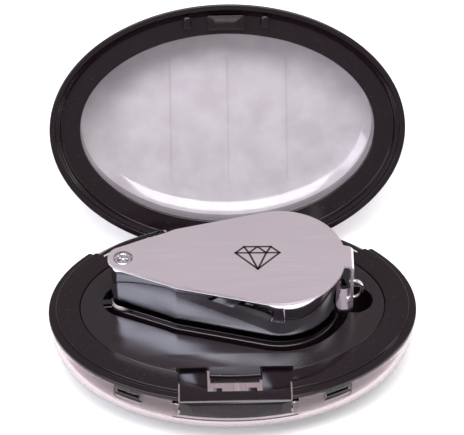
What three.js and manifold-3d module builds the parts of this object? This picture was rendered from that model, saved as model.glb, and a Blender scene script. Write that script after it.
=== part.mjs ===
// Folding jeweller's loupe in its oval clamshell case, lid open. Millimetres, +Z up, front towards -Y.
// The origin is the middle of the underside of the case, on the table.
import * as THREE from 'three';
import { mergeVertices } from 'three/addons/utils/BufferGeometryUtils.js';
import Module from 'manifold-3d';

const wasm = await Module();
wasm.setup();

// Case, in plan an ellipse. Heights inside the case are measured from the outer ledge.
const CASE_A = 47;
const CASE_B = 33;
const LEDGE_HEIGHT = 19.2;
const OVAL_SEGMENTS = 56;
const CORNER_STEPS = 6;
const GAP = 0.3;

// Clear shells
const SHELL_INSET = 0.4;
const BASE_WALL = 1.6;
const BASE_CORNER = 15;
const COVER_WALL = 1.2;
const COVER_CORNER = 14;
const COVER_TOP = 18.8;
const WINDOW_INSET = 10;
const RIM = 1.1;

// Black base tray and the cradle in it
const LEDGE_WIDTH = 1.8;
const PLATFORM_TOP = 1.0;
const CRADLE_INSET = 8.2;
const FLANGE_INSET = 9.9;
const FLANGE_THICKNESS = 1.5;
const SKIRT_INSET = 2.6;
const REAR_STEP = -1.4;
const CRADLE_TOP = 0.9;
const CRADLE_SHEET = 1.5;
const POCKET_DEPTH = 8.5;
const POCKET_CLEARANCE = 1.5;
const POCKET_WALL = 1.2;
const SEAT_INSET = 1.0;
const SEAT_TOP = -0.2;
const NOTCH = { x: 31.2, y: 1.3, radius: 4.6, wall: 0.8 };

// Hinge
const HINGE_Y = 29.75;
const HINGE_Z = -7;
const OPEN_ANGLE = THREE.MathUtils.degToRad(126);
const KNUCKLE_RADIUS = 2.6;
const PIN_RADIUS = 0.95;
const LID_KNUCKLE = 10.6;
const BASE_KNUCKLE = 15.9;

// Lid frame
const LIP_BOTTOM = 0.2;
const LID_RIM = 2.0;
const RING_FACE = 3.44;
const RING_BACK = 4.9;
const WELL_INSET = 8.1;
const WELL_WALL = 1.2;
const WELL_TOP = 15.5;

// Latch
const LATCH = { half: 13.9, rear: -22.3, top: 0, bottom: -4.7, front: -34 };
const LATCH_CUT = { half: 14.25, rear: -21.7, bottom: -5.1 };
const TONGUE = { half: 6.4, front: -25.2, bottom: -1.3 };
const SLOT = { half: 6.9, front: -29.2 };
const SLOT_STOP = { inside: 3.3, outside: 5.5, rear: -27.8 };
const SPRING_BRACKET = { inside: 7.2, outside: 15.95, wall: 1.4 };
const SPRING = { x: 10.3, z: -2.7, coil: 1.1, wire: 0.25, rear: -22.1, front: -27.1, turns: 5 };
const SPRING_BORE = { radius: 1.8, end: -28.5 };
const SNAP_WINDOWS = [[-30, -23.5], [22.5, 29]];
const SNAP = { inside: 3.8, outside: 1, bottom: -4.9, top: -4.1, windowBottom: -6.2, windowTop: -2.6 };
const LATCH_FRAME = { half: 15.9, proud: -0.6, inside: 1.6, bottom: -6.6, lip: -5.2 };

// Loupe: teardrop with the rivet at its own origin and the lens on +X
const LOUPE_PLACE = { x: -27.6, y: 2.15, turn: -0.014 };
const SMALL_END = 3.9;
const KINK = { x: 12.1, y: 9.9 };
const LENS_X = 39.7;
const BIG_END = 16.5;
const SHEET = 0.7;
const LOWER_PLATE_INSET = 2.2;
const COVER_BOTTOM = 0.1;
const COVER_HEIGHT = 16.3;
const STRAP_OUTSIDE = 58.3;
const STRAP_HALF = 3.65;
const BEND_RADIUS = 1.8;
const RIVET_HOLE = 2.45;
const WASHER_RADIUS = 3;
const LOWER_EYE_RADIUS = 3.3;
const BODY_INSET = 0.8;
const BODY_BOTTOM = 1.6;
const BODY_TOP = 14.9;
const LENS_BORE = 11.5;
const LENS_RADIUS = 11.1;
const BAIL = { x: 58.6, z: 4.6, reach: 2.1, half: 2.9, wire: 0.5, inside: 57.35 };

const material = (color, roughness, metalness = 0, opacity = 1) =>
  new THREE.MeshStandardMaterial({ color, roughness, metalness, opacity, transparent: opacity < 1 });
const blackPlastic = material(0x1c1a20, 0.25);
const clearPlastic = material(0xcfc4cb, 0.1, 0, 0.35);
const brushedSteel = material(0xc8bcc1, 0.35, 1);
const chrome = material(0xd8d4d8, 0.06, 1);
const springSteel = material(0x8d8a8c, 0.3, 1);
const glass = material(0xe6f0f0, 0.03, 0, 0.3);
const anodised = material(0x202022, 0.5, 0.6);
const nylon = material(0xe6e4df, 0.6);

// Solids ------------------------------------------------------------------------------------------

function toSolid(geometry) {
  const bare = geometry.clone();
  bare.deleteAttribute('normal');
  bare.deleteAttribute('uv');
  const merged = mergeVertices(bare, 1e-4);
  const vertProperties = new Float32Array(merged.attributes.position.array);
  const triVerts = new Uint32Array(merged.index.array);
  return new wasm.Manifold(new wasm.Mesh({ numProp: 3, vertProperties, triVerts }));
}

function toGeometry(solid) {
  const { vertProperties, triVerts } = solid.getMesh();
  const geometry = new THREE.BufferGeometry();
  geometry.setAttribute('position', new THREE.BufferAttribute(vertProperties, 3));
  geometry.setIndex(new THREE.BufferAttribute(triVerts, 1));
  geometry.computeVertexNormals();
  return geometry;
}

function box(x0, x1, y0, y1, z0, z1) {
  const geometry = new THREE.BoxGeometry(x1 - x0, y1 - y0, z1 - z0);
  geometry.translate((x0 + x1) / 2, (y0 + y1) / 2, (z0 + z1) / 2);
  return toSolid(geometry);
}

function cylinderZ(radius, z0, z1, x = 0, y = 0, segments = 32) {
  const geometry = new THREE.CylinderGeometry(radius, radius, z1 - z0, segments);
  geometry.rotateX(Math.PI / 2);
  geometry.translate(x, y, (z0 + z1) / 2);
  return toSolid(geometry);
}

function cylinderX(radius, x0, x1, y, z, segments = 24) {
  const geometry = new THREE.CylinderGeometry(radius, radius, x1 - x0, segments);
  geometry.rotateZ(Math.PI / 2);
  geometry.translate((x0 + x1) / 2, y, z);
  return toSolid(geometry);
}

function cylinderY(radius, y0, y1, x, z, segments = 16) {
  const geometry = new THREE.CylinderGeometry(radius, radius, y1 - y0, segments);
  geometry.translate(x, (y0 + y1) / 2, z);
  return toSolid(geometry);
}

function prism(shape, z0, z1, curveSegments = 10) {
  const geometry = new THREE.ExtrudeGeometry(shape, { depth: z1 - z0, bevelEnabled: false, curveSegments });
  geometry.translate(0, 0, z0);
  return toSolid(geometry);
}

// A body of concentric ovals. The profile runs anticlockwise in radius and height, as [inset, z]
// from the case outline; AXIS stands for the middle.
const AXIS = Infinity;

function ovalBody(profile) {
  const positions = [];
  const rings = profile.map(([inset, z]) => {
    const ring = { start: positions.length / 3, round: inset !== AXIS };
    const a = ring.round ? CASE_A - inset : 0;
    const b = ring.round ? CASE_B - inset : 0;
    for (let i = 0; i < (ring.round ? OVAL_SEGMENTS : 1); i += 1) {
      const angle = (2 * Math.PI * i) / OVAL_SEGMENTS;
      positions.push(a * Math.cos(angle), b * Math.sin(angle), z);
    }
    return ring;
  });
  const index = [];
  rings.forEach((ring, k) => {
    const next = rings[(k + 1) % rings.length];
    for (let i = 0; i < OVAL_SEGMENTS; i += 1) {
      const j = (i + 1) % OVAL_SEGMENTS;
      const low = ring.start + (ring.round ? i : 0);
      const high = next.start + (next.round ? j : 0);
      if (ring.round) index.push(low, ring.start + j, high);
      if (next.round) index.push(low, high, next.start + i);
    }
  });
  const geometry = new THREE.BufferGeometry();
  geometry.setAttribute('position', new THREE.Float32BufferAttribute(positions, 3));
  geometry.setIndex(index);
  return toSolid(geometry);
}

const ovalPrism = (inset, z0, z1) => ovalBody([[AXIS, z0], [inset, z0], [inset, z1], [AXIS, z1]]);

function corner(inset, z, radius, from, to) {
  return Array.from({ length: CORNER_STEPS + 1 }, (_, i) => {
    const angle = from + ((to - from) * i) / CORNER_STEPS;
    return [inset - radius * Math.cos(angle), z + radius * Math.sin(angle)];
  });
}

// Teardrop outline of the loupe, grown outwards by `grow`
function teardrop(grow) {
  const small = SMALL_END + grow;
  const big = BIG_END + grow;
  const kink = new THREE.Vector2(KINK.x - 0.34 * grow, KINK.y + 0.95 * grow);
  const toSmall = Math.atan2(kink.y, kink.x) + Math.acos(small / kink.length());
  const fromBig = new THREE.Vector2(kink.x - LENS_X, kink.y);
  const toBig = Math.atan2(fromBig.y, fromBig.x) - Math.acos(big / fromBig.length());
  const shape = new THREE.Shape();
  shape.absarc(0, 0, small, toSmall, 2 * Math.PI - toSmall, false);
  shape.lineTo(kink.x, -kink.y);
  shape.absarc(LENS_X, 0, big, -toBig, toBig, false);
  shape.lineTo(kink.x, kink.y);
  shape.closePath();
  return shape;
}

function placeLoupe(object) {
  object.position.set(LOUPE_PLACE.x, LOUPE_PLACE.y, 0);
  object.rotation.z = LOUPE_PLACE.turn;
  object.updateMatrix();
  return object;
}

const loupeMatrix = placeLoupe(new THREE.Object3D()).matrix;

// A teardrop prism where the loupe lies in the case
function seatedPrism(grow, z0, z1) {
  const geometry = new THREE.ExtrudeGeometry(teardrop(grow), {
    depth: z1 - z0, bevelEnabled: false, curveSegments: 14,
  });
  geometry.translate(0, 0, z0);
  geometry.applyMatrix4(loupeMatrix);
  return toSolid(geometry);
}

// Base --------------------------------------------------------------------------------------------

function baseShell() {
  const centre = SHELL_INSET + BASE_CORNER;
  const spring = BASE_CORNER - LEDGE_HEIGHT;
  const inside = BASE_CORNER - BASE_WALL;
  const shell = ovalBody([
    [AXIS, -LEDGE_HEIGHT],
    ...corner(centre, spring, BASE_CORNER, -Math.PI / 2, 0),
    [SHELL_INSET, -RIM - GAP],
    [SHELL_INSET + BASE_WALL, -RIM - GAP],
    ...corner(centre, spring, inside, 0, -Math.PI / 2),
    [AXIS, BASE_WALL - LEDGE_HEIGHT],
  ]);
  const latchFrame = ovalPrism(LATCH_FRAME.proud, LATCH_FRAME.bottom, -RIM - GAP)
    .subtract(ovalPrism(LATCH_FRAME.inside, LATCH_FRAME.bottom - 1, 1))
    .intersect(box(-LATCH_FRAME.half, LATCH_FRAME.half, -CASE_B - 2, 0, LATCH_FRAME.bottom - 1, 1));
  const latchOpening = box(-LATCH_CUT.half, LATCH_CUT.half, -CASE_B - 2, -22, LATCH_FRAME.lip, 2);
  const hingeNotch = box(-BASE_KNUCKLE - 0.6, BASE_KNUCKLE + 0.6, 20, CASE_B + 2, -12.6, 2);
  const windows = SNAP_WINDOWS.map(([x0, x1]) => (
    box(x0, x1, -CASE_B - 2, -15, SNAP.windowBottom, SNAP.windowTop)));
  const cuts = [latchOpening, hingeNotch, ...windows];
  return cuts.reduce((solid, cut) => solid.subtract(cut), shell.add(latchFrame));
}

function baseTray() {
  const flangeTop = CRADLE_TOP - CRADLE_SHEET - GAP;
  const flangeBottom = flangeTop - FLANGE_THICKNESS;
  const ring = ovalBody([
    [0, -RIM],
    [0, 0],
    [LEDGE_WIDTH, 0.15],
    [LEDGE_WIDTH + 0.15, PLATFORM_TOP],
    [CRADLE_INSET - GAP, PLATFORM_TOP],
    [CRADLE_INSET - GAP, flangeTop],
    [FLANGE_INSET, flangeTop],
    [FLANGE_INSET, flangeBottom],
    [SKIRT_INSET, flangeBottom],
    [SKIRT_INSET, -RIM],
  ]);
  // The platform stops at the rear in two slanting ends, and the edge behind it lies lower
  const rear = new THREE.Shape([
    [-36.7, 20.4], [-33, 18.6], [-31.5, 16], [-31, 14], [31, 14], [31.5, 16], [33, 18.6], [36.7, 20.4],
    [40, 40], [-40, 40],
  ].map(([x, y]) => new THREE.Vector2(x, y)));
  const { half, rear: cutRear, bottom } = LATCH_CUT;
  const catches = SNAP_WINDOWS.map(([x0, x1]) => {
    const ring = (outside, z0, z1) => (
      ovalPrism(outside, z0, z1).subtract(ovalPrism(SNAP.inside, z0 - 1, z1 + 1)));
    const stem = ring(SKIRT_INSET, SNAP.bottom, flangeBottom + 0.3);
    const nub = ring(SNAP.outside, SNAP.bottom, SNAP.top);
    return stem.add(nub).intersect(box(x0 + 0.5, x1 - 0.5, -CASE_B, -15, SNAP.bottom - 1, 0));
  });
  const brackets = [-1, 1].map((side) => {
    const { inside, outside, wall } = SPRING_BRACKET;
    const [x0, x1] = [inside, outside].map((x) => side * x).sort((p, q) => p - q);
    return box(x0, x1, cutRear + 0.1, cutRear + 0.1 + wall, bottom, flangeTop);
  });
  const knuckles = [-1, 1].map((side) => {
    const [x0, x1] = [LID_KNUCKLE + GAP, BASE_KNUCKLE].map((x) => side * x).sort((p, q) => p - q);
    const bracket = box(x0, x1, 26.6, HINGE_Y, HINGE_Z, flangeBottom + 0.2);
    return cylinderX(KNUCKLE_RADIUS, x0, x1, HINGE_Y, HINGE_Z).add(bracket);
  });
  let tray = ring
    .subtract(prism(rear, REAR_STEP, PLATFORM_TOP + 1))
    .subtract(box(-half, half, -CASE_B - 2, cutRear, bottom, PLATFORM_TOP + 1));
  for (const extra of [...brackets, ...catches, ...knuckles]) tray = tray.add(extra);
  const lidPath = box(-LID_KNUCKLE - GAP, LID_KNUCKLE + GAP, 26.6, CASE_B + 2, -12, PLATFORM_TOP + 1);
  const bore = cylinderX(PIN_RADIUS + GAP, -CASE_A, CASE_A, HINGE_Y, HINGE_Z);
  return tray.subtract(lidPath).subtract(bore);
}

function loupeCradle() {
  const sheetBottom = CRADLE_TOP - CRADLE_SHEET;
  const floor = -POCKET_DEPTH;
  const underside = floor - POCKET_WALL;
  const notch = (grow, z0, z1) => cylinderZ(NOTCH.radius + grow, z0, z1, NOTCH.x, NOTCH.y);
  const pocketWalls = seatedPrism(POCKET_CLEARANCE + POCKET_WALL, underside, 0)
    .add(notch(NOTCH.wall, underside, 0));
  const pocket = seatedPrism(POCKET_CLEARANCE, floor, 2).add(notch(0, floor, 2));
  const seat = seatedPrism(-SEAT_INSET, floor - 0.2, SEAT_TOP);
  const seatHollow = seatedPrism(-SEAT_INSET - POCKET_WALL, underside - 1, SEAT_TOP - POCKET_WALL);
  const sides = [-1, 1].map((side) => {
    const [x0, x1] = [TONGUE.half, LATCH_CUT.half].map((x) => side * x).sort((p, q) => p - q);
    return box(x0, x1, -CASE_B, LATCH_CUT.rear, -2, 2);
  });
  return ovalPrism(CRADLE_INSET, sheetBottom, CRADLE_TOP)
    .add(pocketWalls)
    .subtract(pocket)
    .add(seat)
    .subtract(seatHollow)
    .subtract(sides[0])
    .subtract(sides[1])
    .add(box(-TONGUE.half + 0.2, TONGUE.half - 0.2, TONGUE.front, LATCH_CUT.rear + 1, TONGUE.bottom, 0))
    .subtract(box(-TONGUE.half - 1, TONGUE.half + 1, -CASE_B, TONGUE.front, -2, 2));
}

function latchButton() {
  const side = new THREE.Shape();
  side.moveTo(LATCH.rear, LATCH.bottom);
  side.lineTo(LATCH.front, LATCH.bottom);
  side.lineTo(LATCH.front + 0.4, -2.4);
  side.quadraticCurveTo(LATCH.front + 0.8, LATCH.top, LATCH.front + 3, LATCH.top);
  side.lineTo(LATCH.rear, LATCH.top);
  side.closePath();
  const geometry = new THREE.ExtrudeGeometry(side, {
    depth: 2 * LATCH.half, bevelEnabled: false, curveSegments: 6,
  });
  // Stand the side outline up: its x becomes y, its y becomes z and its depth becomes x
  geometry.applyMatrix4(new THREE.Matrix4().set(0, 0, 1, -LATCH.half, 1, 0, 0, 0, 0, 1, 0, 0, 0, 0, 0, 1));
  let latch = toSolid(geometry)
    .intersect(ovalPrism(-1, LATCH.bottom - 1, LATCH.top + 1))
    .subtract(box(-SLOT.half, SLOT.half, SLOT.front, 0, -8, 1));
  for (const side of [-1, 1]) {
    const [x0, x1] = [SLOT_STOP.inside, SLOT_STOP.outside].map((x) => side * x).sort((p, q) => p - q);
    latch = latch.add(box(x0, x1, SLOT.front - 0.5, SLOT_STOP.rear, -2.2, -0.3));
  }
  for (const x of [-SPRING.x, SPRING.x]) {
    latch = latch.subtract(cylinderY(SPRING_BORE.radius, SPRING_BORE.end, 0, x, SPRING.z));
  }
  return latch;
}

function latchSpring(x) {
  class Helix extends THREE.Curve {
    getPoint(t, target = new THREE.Vector3()) {
      const angle = 2 * Math.PI * SPRING.turns * t;
      const y = THREE.MathUtils.lerp(SPRING.rear, SPRING.front, t);
      return target.set(x + SPRING.coil * Math.cos(angle), y, SPRING.z + SPRING.coil * Math.sin(angle));
    }
  }
  const section = new THREE.Shape();
  section.absarc(0, 0, SPRING.wire, 0, 2 * Math.PI, false);
  return toSolid(new THREE.ExtrudeGeometry(section, {
    extrudePath: new Helix(), steps: SPRING.turns * 11, curveSegments: 3,
  }));
}

const hingePin = () => cylinderX(PIN_RADIUS, 0.2 - BASE_KNUCKLE, BASE_KNUCKLE - 0.2, HINGE_Y, HINGE_Z);

// Lid, drawn closed --------------------------------------------------------------------------------

function lidFrame() {
  const skirt = SHELL_INSET + COVER_WALL + GAP;
  const ring = ovalBody([
    [0, LIP_BOTTOM],
    [0, LIP_BOTTOM + LID_RIM],
    [skirt, LIP_BOTTOM + LID_RIM],
    [skirt, RING_BACK],
    [WELL_INSET - WELL_WALL, RING_BACK],
    [WELL_INSET - WELL_WALL, WELL_TOP - 0.8],
    [WELL_INSET, WELL_TOP],
    [WELL_INSET, RING_FACE],
    [LEDGE_WIDTH + 1.2, RING_FACE],
    [LEDGE_WIDTH + 0.9, LIP_BOTTOM + 1.8],
    [LEDGE_WIDTH - 0.25, LIP_BOTTOM + 1.15],
    [LEDGE_WIDTH - 0.3, LIP_BOTTOM],
  ]);
  const root = RING_FACE + 0.4;
  const hook = box(-4.75, 4.75, -30, -26.2, 0.6, root)
    .subtract(box(-5, 5, -26.9, -26, 1.6, 2.2))
    .add(box(-3.75, 3.75, -26.4, -25.1, 2.2, root))
    .add(box(-2.9, 2.9, -28.7, -27.1, -2, root));
  const pegs = [-10.2, 10.2].map((x) => box(x - 1.05, x + 1.05, -30, -26.4, 0.6, root));
  const arm = box(-LID_KNUCKLE, LID_KNUCKLE, HINGE_Y - 0.5, CASE_B, HINGE_Z, LIP_BOTTOM + 0.8)
    .intersect(ovalPrism(0.3, HINGE_Z - 1, RING_FACE));
  const bore = cylinderX(PIN_RADIUS + GAP, -CASE_A, CASE_A, HINGE_Y, HINGE_Z);
  return ring
    .add(hook)
    .add(pegs[0])
    .add(pegs[1])
    .add(arm)
    .add(cylinderX(KNUCKLE_RADIUS, -LID_KNUCKLE, LID_KNUCKLE, HINGE_Y, HINGE_Z))
    .subtract(bore);
}

// The clear dome, made as a side wall and a window so that each is a simple shape
function lidDome() {
  const centre = SHELL_INSET + COVER_CORNER;
  const spring = COVER_TOP - COVER_CORNER;
  const rim = LIP_BOTTOM + LID_RIM + GAP;
  return ovalBody([
    [SHELL_INSET, rim],
    ...corner(centre, spring, COVER_CORNER, 0, Math.PI / 2),
    [AXIS, COVER_TOP],
    [AXIS, COVER_TOP - COVER_WALL],
    ...corner(centre, spring, COVER_CORNER - COVER_WALL, Math.PI / 2, 0),
    [SHELL_INSET + COVER_WALL, rim],
  ]);
}

const lidCover = () => lidDome().subtract(ovalPrism(WINDOW_INSET, 0, COVER_TOP + 1));
const lidWindow = () => lidDome().intersect(ovalPrism(WINDOW_INSET + GAP, 0, COVER_TOP + 1));

// Loupe, with the rivet as its origin -----------------------------------------------------------------

// One bent sheet: two teardrop plates joined by a strap round the end
function loupeCover() {
  const top = COVER_BOTTOM + COVER_HEIGHT;
  const side = new THREE.Shape();
  side.moveTo(LENS_X, COVER_BOTTOM);
  side.absarc(STRAP_OUTSIDE - BEND_RADIUS, COVER_BOTTOM + BEND_RADIUS, BEND_RADIUS, -Math.PI / 2, 0, false);
  side.absarc(STRAP_OUTSIDE - BEND_RADIUS, top - BEND_RADIUS, BEND_RADIUS, 0, Math.PI / 2, false);
  side.lineTo(LENS_X, top);
  side.lineTo(LENS_X, top - SHEET);
  const inner = BEND_RADIUS - SHEET;
  side.absarc(STRAP_OUTSIDE - BEND_RADIUS, top - BEND_RADIUS, inner, Math.PI / 2, 0, true);
  side.absarc(STRAP_OUTSIDE - BEND_RADIUS, COVER_BOTTOM + BEND_RADIUS, inner, 0, -Math.PI / 2, true);
  side.lineTo(LENS_X, COVER_BOTTOM + SHEET);
  side.closePath();
  const geometry = new THREE.ExtrudeGeometry(side, {
    depth: 2 * STRAP_HALF, bevelEnabled: false, curveSegments: 4,
  });
  // The side outline's y becomes z, and its depth runs along -y
  geometry.applyMatrix4(new THREE.Matrix4().set(1, 0, 0, 0, 0, 0, -1, STRAP_HALF, 0, 1, 0, 0, 0, 0, 0, 1));
  const plate = (grow, z0) => prism(teardrop(grow), z0, z0 + SHEET, 14);
  let cover = toSolid(geometry)
    .add(plate(-LOWER_PLATE_INSET, COVER_BOTTOM))
    .add(cylinderZ(LOWER_EYE_RADIUS, COVER_BOTTOM, COVER_BOTTOM + SHEET, 0, 0, 24))
    .add(plate(0, top - SHEET))
    .subtract(cylinderZ(RIVET_HOLE, -1, top + 1, 0, 0, 24));
  for (const z of [BAIL.z - BAIL.half, BAIL.z + BAIL.half]) {
    cover = cover.subtract(cylinderX(1.2, STRAP_OUTSIDE - 1.4, STRAP_OUTSIDE + 1, 0, z, 16));
  }
  return cover;
}

function lensBody() {
  return prism(teardrop(-BODY_INSET), BODY_BOTTOM, BODY_TOP, 14)
    .subtract(cylinderZ(RIVET_HOLE, -1, 20, 0, 0, 24))
    .subtract(cylinderZ(LENS_BORE, -1, 20, LENS_X, 0, 40));
}

const pivotRivet = () => cylinderZ(RIVET_HOLE - GAP, 0.2, 16.2, 0, 0, 20)
  .subtract(cylinderZ(1, 14.8, 17, 0, 0, 12))
  .subtract(cylinderZ(1, -1, 1.6, 0, 0, 12));

const washer = (z0) => (
  cylinderZ(WASHER_RADIUS, z0, z0 + 0.3, 0, 0, 24).subtract(cylinderZ(RIVET_HOLE, 0, 20, 0, 0, 24)));

// A lens between two spherical faces, given as [height on the axis, radius of curvature]; a radius
// above 0 bulges upwards
function lens([lowZ, lowRadius], [highZ, highRadius]) {
  const face = (z, radius, r) => z - radius + Math.sign(radius) * Math.sqrt(radius * radius - r * r);
  const radii = [0, 0.28, 0.54, 0.78, 1].map((part) => part * LENS_RADIUS);
  const points = [
    ...radii.map((r) => new THREE.Vector2(r, face(lowZ, lowRadius, r))),
    ...radii.reverse().map((r) => new THREE.Vector2(r, face(highZ, highRadius, r))),
  ];
  const geometry = new THREE.LatheGeometry(points, 28);
  geometry.rotateX(Math.PI / 2);
  geometry.translate(LENS_X, 0, 0);
  return toSolid(geometry);
}

const retainingRing = (z0) => cylinderZ(LENS_RADIUS, z0, z0 + 1.1, LENS_X, 0, 32)
  .subtract(cylinderZ(9.6, z0 - 1, z0 + 2, LENS_X, 0, 32));

function lanyardBail() {
  class Loop extends THREE.Curve {
    getPoint(t, target = new THREE.Vector3()) {
      const straight = BAIL.x - BAIL.inside;
      const round = Math.PI * BAIL.half;
      const s = t * (round + 2 * straight) - straight;
      if (s < 0) return target.set(BAIL.x + s, 0, BAIL.z - BAIL.half);
      if (s > round) return target.set(BAIL.x - (s - round), 0, BAIL.z + BAIL.half);
      const angle = (s / round - 0.5) * Math.PI;
      return target.set(BAIL.x + BAIL.reach * Math.cos(angle), 0, BAIL.z + BAIL.half * Math.sin(angle));
    }
  }
  const section = new THREE.Shape();
  section.absarc(0, 0, BAIL.wire, 0, 2 * Math.PI, false);
  return toSolid(new THREE.ExtrudeGeometry(section, { extrudePath: new Loop(), steps: 22, curveSegments: 4 }));
}

// Assembly ----------------------------------------------------------------------------------------------

function mesh(name, solid, look) {
  const part = new THREE.Mesh(toGeometry(solid), look);
  part.name = name;
  return part;
}

const base = new THREE.Group();
base.add(
  mesh('base_shell', baseShell(), clearPlastic),
  mesh('base_tray', baseTray(), blackPlastic),
  mesh('loupe_cradle', loupeCradle(), blackPlastic),
  mesh('latch_button', latchButton(), blackPlastic),
  mesh('latch_spring_left', latchSpring(-SPRING.x), springSteel),
  mesh('latch_spring_right', latchSpring(SPRING.x), springSteel),
  mesh('hinge_pin', hingePin(), springSteel),
);

const lidClosed = new THREE.Group();
lidClosed.position.set(0, -HINGE_Y, -HINGE_Z);
lidClosed.add(
  mesh('lid_frame', lidFrame(), blackPlastic),
  mesh('lid_cover', lidCover(), clearPlastic),
  mesh('lid_window', lidWindow(), clearPlastic),
);
const lid = new THREE.Group();
lid.position.set(0, HINGE_Y, HINGE_Z);
lid.rotation.x = -OPEN_ANGLE;
lid.add(lidClosed);

// The three cemented lenses, told apart by the curve of the faces between them
const CRYSTAL = { low: 3.3, firstJoint: 6.3, secondJoint: 10.2, high: 13.2, outer: 34, joint: 60 };
const loupe = placeLoupe(new THREE.Group());
loupe.add(
  mesh('loupe_cover', loupeCover(), brushedSteel),
  mesh('lens_body', lensBody(), chrome),
  mesh('pivot_rivet', pivotRivet(), springSteel),
  mesh('pivot_washer_upper', washer(15.15), nylon),
  mesh('pivot_washer_lower', washer(1.05), nylon),
  mesh('lens_lower', lens([CRYSTAL.low, -CRYSTAL.outer], [CRYSTAL.firstJoint - GAP, -CRYSTAL.joint]), glass),
  mesh('lens_middle', lens([CRYSTAL.firstJoint, -CRYSTAL.joint], [CRYSTAL.secondJoint, CRYSTAL.joint]), glass),
  mesh('lens_upper', lens([CRYSTAL.secondJoint + GAP, CRYSTAL.joint], [CRYSTAL.high, CRYSTAL.outer]), glass),
  mesh('retaining_ring_lower', retainingRing(2.1), anodised),
  mesh('retaining_ring_upper', retainingRing(13.3), anodised),
  mesh('lanyard_bail', lanyardBail(), springSteel),
);

const ledge = new THREE.Group();
ledge.position.z = LEDGE_HEIGHT;
ledge.add(base, lid, loupe);

const model = new THREE.Group();
model.add(ledge);
export default model;
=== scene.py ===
"""Folding jeweller's loupe in its oval clamshell case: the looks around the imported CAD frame.

Shapes are worked out in millimetres, with heights measured from the case's outer ledge.
"""
import math

import bmesh
import bpy
from mathutils import Matrix, Vector


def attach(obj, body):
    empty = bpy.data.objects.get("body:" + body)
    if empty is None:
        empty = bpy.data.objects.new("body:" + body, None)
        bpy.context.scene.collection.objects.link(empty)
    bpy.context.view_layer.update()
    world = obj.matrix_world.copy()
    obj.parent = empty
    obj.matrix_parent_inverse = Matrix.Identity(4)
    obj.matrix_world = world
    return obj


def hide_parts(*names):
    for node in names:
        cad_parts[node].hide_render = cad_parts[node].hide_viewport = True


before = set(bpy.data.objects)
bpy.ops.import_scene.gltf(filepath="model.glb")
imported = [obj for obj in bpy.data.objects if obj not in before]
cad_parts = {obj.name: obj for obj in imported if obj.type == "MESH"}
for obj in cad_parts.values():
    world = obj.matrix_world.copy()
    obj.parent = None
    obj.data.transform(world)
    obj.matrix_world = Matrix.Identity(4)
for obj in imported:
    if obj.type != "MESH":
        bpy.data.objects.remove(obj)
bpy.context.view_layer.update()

MM = 0.001

# How far a cutting tool reaches past what it cuts
PAST = 2.0

# Case
CASE_A = 47.0
CASE_B = 33.0
LEDGE_HEIGHT = 19.2
SHELL_INSET = 0.4
BASE_WALL = 1.6
BASE_CORNER = 15.0
COVER_WALL = 1.2
COVER_CORNER = 14.0
COVER_TOP = 18.8
RIM = 1.1
GAP = 0.3
LEDGE_WIDTH = 1.8
PLATFORM_TOP = 1.0
CRADLE_INSET = 8.1
FLANGE_INSET = 9.9
FLANGE_SHEET = 1.5
FLANGE_DROP = 0.1
INSERT_SEAM = 0.12
SKIRT_INSET = 2.6
REAR_STEP = -1.4
REAR_STEP_HALF = ((31, 14), (31.5, 16), (33, 18.6), (36.7, 20.4), (40, 40))
CRADLE_TOP = 0.9
CRADLE_SHEET = 1.4
POCKET_DEPTH = 8.5
POCKET_CLEARANCE = 1.5
POCKET_WALL = 0.8
POCKET_FLOOR = 1.2
SEAT_INSET = 1.0
SEAT_TOP = -0.2
NOTCH = (31.2, 1.3, 4.6)
HINGE_Y = 29.75
HINGE_Z = -7.0
OPEN_ANGLE = math.radians(126)
KNUCKLE_RADIUS = 2.6
PIN_RADIUS = 0.95
LID_KNUCKLE = 10.6
BASE_KNUCKLE = 15.9
KNUCKLE_FRONT = 26.6
HINGE_SIDE_ROOM = 0.6
SHELL_NOTCH_FRONT = 20.0
SHELL_NOTCH_BOTTOM = -12.6
LID_PATH_BOTTOM = -12.0
LIP_BOTTOM = 0.2
LID_RIM = 2.0
RING_FACE = 3.44
RING_BACK = 4.9
WELL_INSET = 8.1
WELL_WALL = 1.2
WELL_TOP = 15.5
HOOK_ROOT = RING_FACE + 0.4
HOOK_HALVES = (4.75, 3.75, 2.9)
PEGS = (-10.2, 10.2)
PEG_HALF = 1.05
WINDOW_LINES = (-15.0, 0.4, 16.1)
LINE_HALF = 0.12
LATCH_HALF = 13.9
LATCH_REAR = -22.3
LATCH_BOTTOM = -4.7
CUT_HALF = 14.25
CUT_REAR = -21.7
CUT_BOTTOM = -5.1
TONGUE_HALF = 6.4
TONGUE_FRONT = -25.2
TONGUE_BOTTOM = -1.3
SLOT_HALF = 6.9
SLOT_FRONT = -29.2
SLOT_STOP = (3.3, 5.5, -27.8)
THUMB_FRONT = -33.6
THUMB_LOW = -2.4
BRACKET = (7.2, 15.95, 1.4)
SPRING_X = 10.3
SPRING_Z = -2.7
SPRING_REAR = -22.1
SPRING_LENGTH = 5.0
SPRING_RADIUS = 1.1
SPRING_WIRE = 0.25
SPRING_TURNS = 5
SPRING_BORE = 1.8
SPRING_BORE_END = -28.5
LATCH_FRAME = (15.9, -0.6, 1.6, -6.6, -5.2)
SNAP_INSIDE = 3.8
SNAP_OUTSIDE = 1.0
SNAP_LOW = -4.9
SNAP_HIGH = -4.1
SNAP_SIDE_ROOM = 0.5
SNAP_OPENING = (-6.2, -2.6)
SNAP_WINDOWS = ((-30.0, -23.5), (22.5, 29.0))
FRONT_STRIP = -15.0

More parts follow.
